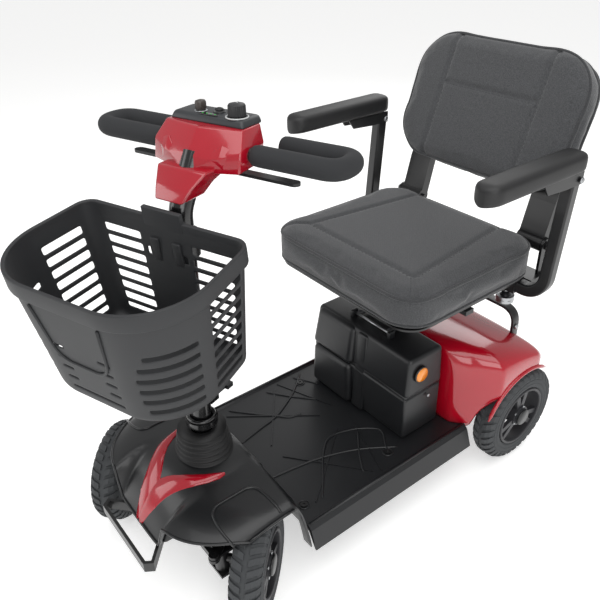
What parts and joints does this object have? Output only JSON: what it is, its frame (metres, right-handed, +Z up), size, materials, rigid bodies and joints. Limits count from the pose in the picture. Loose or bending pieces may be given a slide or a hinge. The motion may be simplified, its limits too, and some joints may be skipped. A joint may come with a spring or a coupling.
{
  "type": "mobility scooter",
  "caption": "Compact mobility scooter with a tiller, front basket, swivel seat, folding backrest, flip-up armrests and a lift-out battery box.",
  "frame": {"origin": "on the floor, under the middle of the whole scooter at rest", "axes": "+Z up, -Y the way it drives, +X the side the front wheels are turned to"},
  "size_m": [0.5611, 1.089, 0.8727],
  "materials": {
    "black_powder_coat": "satin",
    "black_abs": "satin",
    "dark_grey_pp": "matt",
    "red_gloss_abs": "gloss",
    "tyre_rubber": "matt",
    "rim_nylon": "satin",
    "foam_grip": "matt",
    "bellows_rubber": "matt",
    "zinc_steel": "satin",
    "cast_alloy": "satin",
    "grey_fabric": "woven",
    "soft_pu": "satin",
    "amber_lens": "gloss",
    "cell_wrap": "matt",
    "key_plastic": "satin"
  },
  "bodies": {
    "chassis": {"front_frame": "black_powder_coat", "rear_frame": "black_powder_coat", "deck_pan": "black_abs", "deck_screws": "zinc_steel", "front_shroud": "black_abs", "shroud_accent": "red_gloss_abs", "front_bumper": "black_powder_coat", "transaxle": "cast_alloy", "drive_motor": "black_powder_coat", "controller": "black_abs", "rear_cover": "red_gloss_abs", "grab_handle": "black_powder_coat", "anti_tip_arms": "black_powder_coat"},
    "steering_head": {"steering_stem": "black_powder_coat", "bellows": "bellows_rubber"},
    "tie_rod": {"tie_rod": "black_powder_coat"},
    "knuckle_left": {"knuckle_left": "black_powder_coat"},
    "knuckle_right": {"knuckle_right": "black_powder_coat"},
    "front_wheel_left": {"front_tyre_left": "tyre_rubber", "front_rim_left": "rim_nylon"},
    "front_wheel_right": {"front_tyre_right": "tyre_rubber", "front_rim_right": "rim_nylon"},
    "rear_wheel_left": {"rear_tyre_left": "tyre_rubber", "rear_rim_left": "rim_nylon"},
    "rear_wheel_right": {"rear_tyre_right": "tyre_rubber", "rear_rim_right": "rim_nylon"},
    "tiller": {"column_tube": "black_powder_coat", "grips": "foam_grip", "head_cowl": "red_gloss_abs", "console": "black_abs", "basket_bracket": "black_powder_coat"},
    "tilt_lever": {"tilt_lever": "black_powder_coat"},
    "throttle": {"throttle_lever": "black_abs"},
    "speed_dial": {"speed_dial": "black_abs"},
    "key": {"key": "key_plastic"},
    "horn_button": {"horn_button": "black_abs"},
    "basket": {"basket": "dark_grey_pp"},
    "battery": {"battery_case": "black_abs", "battery_lid": "black_abs", "battery_cells": "cell_wrap", "side_reflectors": "amber_lens"},
    "battery_handle": {"battery_handle": "black_abs"},
    "seat_post": {"seat_post": "black_powder_coat"},
    "seat": {"seat_frame": "black_powder_coat", "seat_cushion": "grey_fabric", "seat_brackets": "black_abs"},
    "swivel_lever": {"swivel_lever": "black_powder_coat"},
    "backrest": {"back_shell": "black_abs", "back_cushion": "grey_fabric", "back_brackets": "black_abs"},
    "arm_left": {"arm_rail_left": "black_powder_coat"},
    "arm_right": {"arm_rail_right": "black_powder_coat"},
    "arm_pad_left": {"arm_bracket_left": "black_powder_coat", "arm_pad_left": "soft_pu"},
    "arm_pad_right": {"arm_bracket_right": "black_powder_coat", "arm_pad_right": "soft_pu"},
    "arm_knob_left": {"arm_knob_left": "black_abs"},
    "arm_knob_right": {"arm_knob_right": "black_abs"},
    "freewheel_lever": {"freewheel_lever": "black_abs"},
    "anti_tip_wheels": {"anti_tip_wheels": "tyre_rubber"}
  },
  "joints": [
    {"name": "steering", "type": "hinge", "parent": "chassis", "child": "steering_head", "pos_m": [0, -0.284, 0.15], "axis": [0, 0, 1], "range_deg": [-42, 2]},
    {"name": "kingpin_left", "type": "hinge", "parent": "chassis", "child": "knuckle_left", "pos_m": [-0.132, -0.342, 0.102], "axis": [0, 0, 1], "range_deg": [-84, 4]},
    {"name": "kingpin_right", "type": "hinge", "parent": "chassis", "child": "knuckle_right", "pos_m": [0.132, -0.342, 0.102], "axis": [0, 0, 1], "range_deg": [-84, 4]},
    {"name": "tie_rod_pin", "type": "hinge", "parent": "knuckle_left", "child": "tie_rod", "pos_m": [-0.11015, -0.36805, 0.1425], "axis": [0, 0, 1], "range_deg": [-4, 84]},
    {"name": "front_wheel_left_spin", "type": "hinge", "parent": "knuckle_left", "child": "front_wheel_left", "pos_m": [-0.132, -0.342, 0.102], "axis": [0.766, 0.6428, 0], "continuous": true},
    {"name": "front_wheel_right_spin", "type": "hinge", "parent": "knuckle_right", "child": "front_wheel_right", "pos_m": [0.132, -0.342, 0.102], "axis": [0.766, 0.6428, 0], "continuous": true},
    {"name": "rear_wheel_left_spin", "type": "hinge", "parent": "chassis", "child": "rear_wheel_left", "pos_m": [-0.225, 0.381, 0.114], "axis": [1, 0, 0], "continuous": true},
    {"name": "rear_wheel_right_spin", "type": "hinge", "parent": "chassis", "child": "rear_wheel_right", "pos_m": [0.225, 0.381, 0.114], "axis": [1, 0, 0], "continuous": true},
    {"name": "tiller_tilt", "type": "hinge", "parent": "steering_head", "child": "tiller", "pos_m": [0, -0.284, 0.205], "axis": [0.9397, 0.342, 0], "range_deg": [-6, 5]},
    {"name": "tilt_lever_pull", "type": "hinge", "parent": "tiller", "child": "tilt_lever", "pos_m": [-0.01193, -0.25123, 0.34308], "axis": [0.9397, 0.342, 0], "range_deg": [0, 15], "stiffness_Nm_per_rad": 0.6},
    {"name": "throttle_swing", "type": "hinge", "parent": "tiller", "child": "throttle", "pos_m": [-0.03685, -0.18276, 0.76721], "axis": [-0.0096, 0.0262, 0.9996], "range_deg": [-15, 15], "stiffness_Nm_per_rad": 1},
    {"name": "speed_dial_turn", "type": "hinge", "parent": "tiller", "child": "speed_dial", "pos_m": [0.00424, -0.16117, 0.84707], "axis": [-0.0096, 0.0262, 0.9996], "range_deg": [-135, 135]},
    {"name": "key_turn", "type": "hinge", "parent": "tiller", "child": "key", "pos_m": [-0.0641, -0.18391, 0.84701], "axis": [-0.0096, 0.0262, 0.9996], "range_deg": [0, 90]},
    {"name": "horn_press", "type": "slide", "parent": "tiller", "child": "horn_button", "axis": [0.0096, -0.0262, -0.9996], "range_m": [0, 0.0025], "stiffness_N_per_m": 300},
    {"name": "basket_lift", "type": "slide", "parent": "tiller", "child": "basket", "axis": [0.0393, -0.108, 0.9934], "range_m": [0, 0.07]},
    {"name": "battery_lift", "type": "slide", "parent": "chassis", "child": "battery", "axis": [0, 0, 1], "range_m": [0, 0.045]},
    {"name": "battery_handle_swing", "type": "hinge", "parent": "battery", "child": "battery_handle", "pos_m": [0, 0.146, 0.34], "axis": [1, 0, 0], "range_deg": [0, 90]},
    {"name": "seat_lift", "type": "slide", "parent": "chassis", "child": "seat_post", "axis": [0, 0, 1], "range_m": [0, 0.1]},
    {"name": "seat_swivel", "type": "hinge", "parent": "seat_post", "child": "seat", "pos_m": [0, 0.245, 0.404], "axis": [0, 0, 1], "range_deg": [-90, 90]},
    {"name": "swivel_lever_pull", "type": "hinge", "parent": "seat", "child": "swivel_lever", "pos_m": [0.104, 0.205, 0.4445], "axis": [0, 0, 1], "range_deg": [0, 15], "stiffness_Nm_per_rad": 0.8},
    {"name": "back_fold", "type": "hinge", "parent": "seat", "child": "backrest", "pos_m": [0, 0.432, 0.51], "axis": [1, 0, 0], "range_deg": [0, 45]},
    {"name": "arm_left_slide", "type": "slide", "parent": "seat", "child": "arm_left", "axis": [-1, 0, 0], "range_m": [0, 0.05]},
    {"name": "arm_right_slide", "type": "slide", "parent": "seat", "child": "arm_right", "axis": [1, 0, 0], "range_m": [0, 0.05]},
    {"name": "arm_pad_left_flip", "type": "hinge", "parent": "arm_left", "child": "arm_pad_left", "pos_m": [-0.252, 0.39044, 0.682], "axis": [-1, 0, 0], "range_deg": [0, 90]},
    {"name": "arm_pad_right_flip", "type": "hinge", "parent": "arm_right", "child": "arm_pad_right", "pos_m": [0.252, 0.39044, 0.682], "axis": [-1, 0, 0], "range_deg": [0, 90]},
    {"name": "arm_knob_left_turn", "type": "hinge", "parent": "seat", "child": "arm_knob_left", "pos_m": [-0.167, 0.369, 0.43695], "axis": [0, 0, 1], "range_deg": [-360, 0]},
    {"name": "arm_knob_right_turn", "type": "hinge", "parent": "seat", "child": "arm_knob_right", "pos_m": [0.167, 0.369, 0.43695], "axis": [0, 0, 1], "range_deg": [-360, 0]},
    {"name": "freewheel_lever_push", "type": "hinge", "parent": "chassis", "child": "freewheel_lever", "pos_m": [0.061, 0.387, 0.188], "axis": [-1, 0, 0], "range_deg": [0, 22]},
    {"name": "anti_tip_spin", "type": "hinge", "parent": "chassis", "child": "anti_tip_wheels", "pos_m": [0, 0.458, 0.044], "axis": [1, 0, 0], "continuous": true}
  ],
  "couplings": [
    {"joint": "kingpin_left", "follows": "steering", "ratio": 2},
    {"joint": "kingpin_right", "follows": "steering", "ratio": 2},
    {"joint": "tie_rod_pin", "follows": "steering", "ratio": -2}
  ]
}
